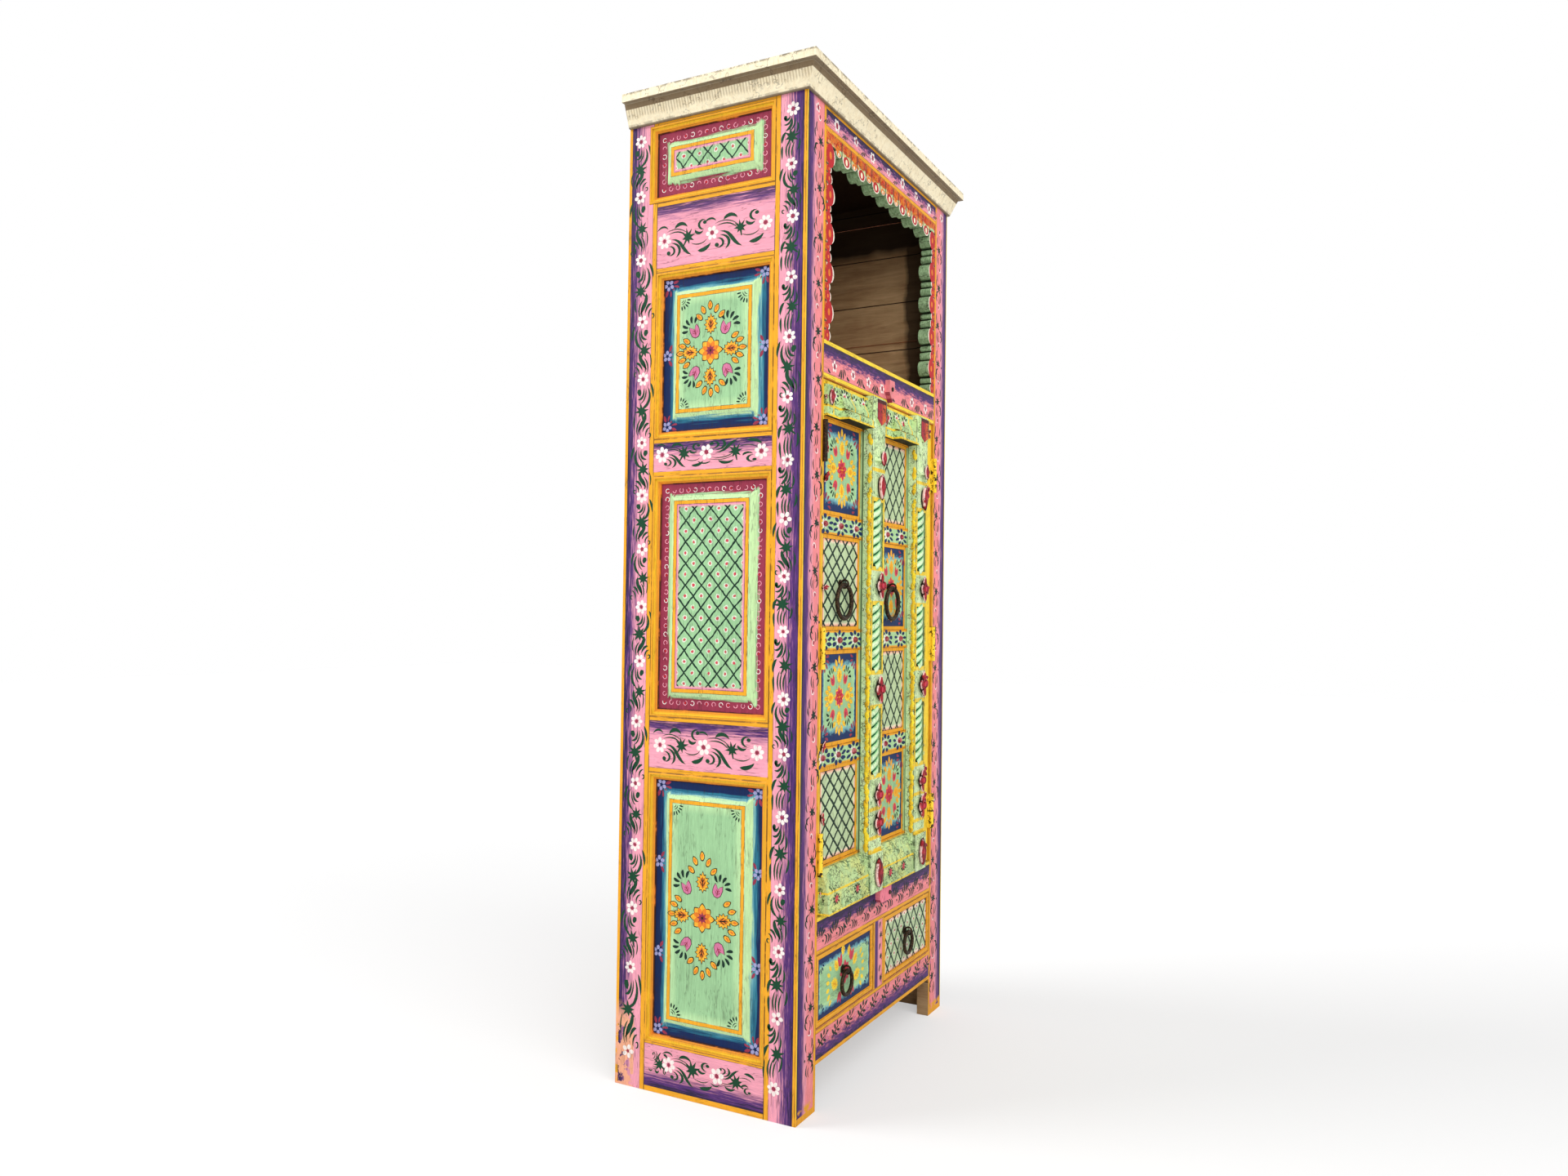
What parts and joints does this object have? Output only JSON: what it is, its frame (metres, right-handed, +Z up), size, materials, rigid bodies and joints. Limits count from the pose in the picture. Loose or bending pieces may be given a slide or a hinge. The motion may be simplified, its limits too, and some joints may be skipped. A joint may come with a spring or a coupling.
{
  "type": "painted cupboard",
  "caption": "Tall narrow painted wooden cupboard: open scalloped niche above, carved hinged door leaves with ring pulls, small drawers at the foot.",
  "frame": {"origin": "on the floor, under the middle of the whole footprint, cornice included", "axes": "+X to the cupboard's right as seen from the front, +Y to its back, +Z up"},
  "size_m": [0.822, 0.441, 2],
  "materials": {
    "frame_paint": "pink and violet brushed paint with flowers, worn at the edges",
    "panel_paint": "mint field with painted border and flowers",
    "ochre_paint": "ochre brushed paint",
    "carved_paint": "green paint over carving, yellow edges",
    "rosette_paint": "red paint with white and yellow edges",
    "button_paint": "pink paint with a dark red tip",
    "cream_paint": "cream distressed paint, worn along its edges",
    "bare_wood": "bare old boards",
    "iron": "dark rusted iron",
    "hinge_steel": "dull aged steel"
  },
  "bodies": {
    "case": {"arch_head": "carved_paint", "arch_left_jamb": "carved_paint", "arch_right_jamb": "carved_paint", "back_boards": "bare_wood", "cornice_crown": "cream_paint", "cornice_slab": "cream_paint", "cupboard_floor": "bare_wood", "cupboard_shelf": "bare_wood", "drawer_muntin": "frame_paint", "drawer_runners": "bare_wood", "front_apron": "frame_paint", "front_left_stile": "frame_paint", "front_lower_rail": "frame_paint", "front_mid_rail": "frame_paint", "front_right_stile": "frame_paint", "front_top_rail": "frame_paint", "hinge_case_flaps": "hinge_steel", "hinge_pins": "hinge_steel", "left_side_back_stile": "frame_paint", "left_side_front_stile": "frame_paint", "left_side_mouldings": "ochre_paint", "left_side_panels": "panel_paint", "left_side_rails": "frame_paint", "niche_floor": "bare_wood", "right_side_back_stile": "frame_paint", "right_side_front_stile": "frame_paint", "right_side_mouldings": "ochre_paint", "right_side_panels": "panel_paint", "right_side_rails": "frame_paint", "turn_button_screws": "hinge_steel"},
    "left_door": {"left_door_eye": "iron", "left_door_frame": "carved_paint", "left_door_header": "carved_paint", "left_door_hinge_flaps": "hinge_steel", "left_door_panels": "carved_paint", "left_door_pilaster": "carved_paint", "left_door_plinth": "carved_paint", "left_door_rosettes": "rosette_paint"},
    "left_door_ring": {"left_door_ring": "iron"},
    "left_drawer": {"left_drawer_bottom": "bare_wood", "left_drawer_box": "bare_wood", "left_drawer_eye": "iron", "left_drawer_front": "panel_paint"},
    "left_drawer_ring": {"left_drawer_ring": "iron"},
    "low_turn_button": {"low_turn_button": "button_paint"},
    "right_door": {"right_door_eye": "iron", "right_door_frame": "carved_paint", "right_door_header": "carved_paint", "right_door_hinge_flaps": "hinge_steel", "right_door_panels": "carved_paint", "right_door_pilaster": "carved_paint", "right_door_plinth": "carved_paint", "right_door_rosettes": "rosette_paint"},
    "right_door_ring": {"right_door_ring": "iron"},
    "right_drawer": {"right_drawer_bottom": "bare_wood", "right_drawer_box": "bare_wood", "right_drawer_eye": "iron", "right_drawer_front": "panel_paint"},
    "right_drawer_ring": {"right_drawer_ring": "iron"},
    "top_turn_button": {"top_turn_button": "button_paint"}
  },
  "joints": [
    {"name": "left_door_swing", "type": "hinge", "parent": "case", "child": "left_door", "pos_m": [-0.2983, -0.1945, 0.89], "axis": [0, 0, -1], "range_deg": [0, 105]},
    {"name": "right_door_swing", "type": "hinge", "parent": "case", "child": "right_door", "pos_m": [0.2983, -0.1945, 0.89], "axis": [0, 0, 1], "range_deg": [0, 105]},
    {"name": "left_drawer_slide", "type": "slide", "parent": "case", "child": "left_drawer", "axis": [0, -1, 0], "range_m": [0, 0.3]},
    {"name": "right_drawer_slide", "type": "slide", "parent": "case", "child": "right_drawer", "axis": [0, -1, 0], "range_m": [0, 0.3]},
    {"name": "left_door_ring_swing", "type": "hinge", "parent": "left_door", "child": "left_door_ring", "pos_m": [-0.1978, -0.192, 1.008], "axis": [-1, 0, 0], "range_deg": [0, 165]},
    {"name": "right_door_ring_swing", "type": "hinge", "parent": "right_door", "child": "right_door_ring", "pos_m": [0.0503, -0.192, 1.008], "axis": [-1, 0, 0], "range_deg": [0, 165]},
    {"name": "left_drawer_ring_swing", "type": "hinge", "parent": "left_drawer", "child": "left_drawer_ring", "pos_m": [-0.176, -0.197, 0.2345], "axis": [-1, 0, 0], "range_deg": [0, 165]},
    {"name": "right_drawer_ring_swing", "type": "hinge", "parent": "right_drawer", "child": "right_drawer_ring", "pos_m": [0.152, -0.197, 0.2345], "axis": [-1, 0, 0], "range_deg": [0, 165]},
    {"name": "top_button_turn", "type": "hinge", "parent": "case", "child": "top_turn_button", "pos_m": [0.016, -0.1955, 1.44], "axis": [0, -1, 0], "range_deg": [-90, 90]},
    {"name": "low_button_turn", "type": "hinge", "parent": "case", "child": "low_turn_button", "pos_m": [0.03, -0.1955, 0.349], "axis": [0, -1, 0], "range_deg": [0, 90]}
  ]
}
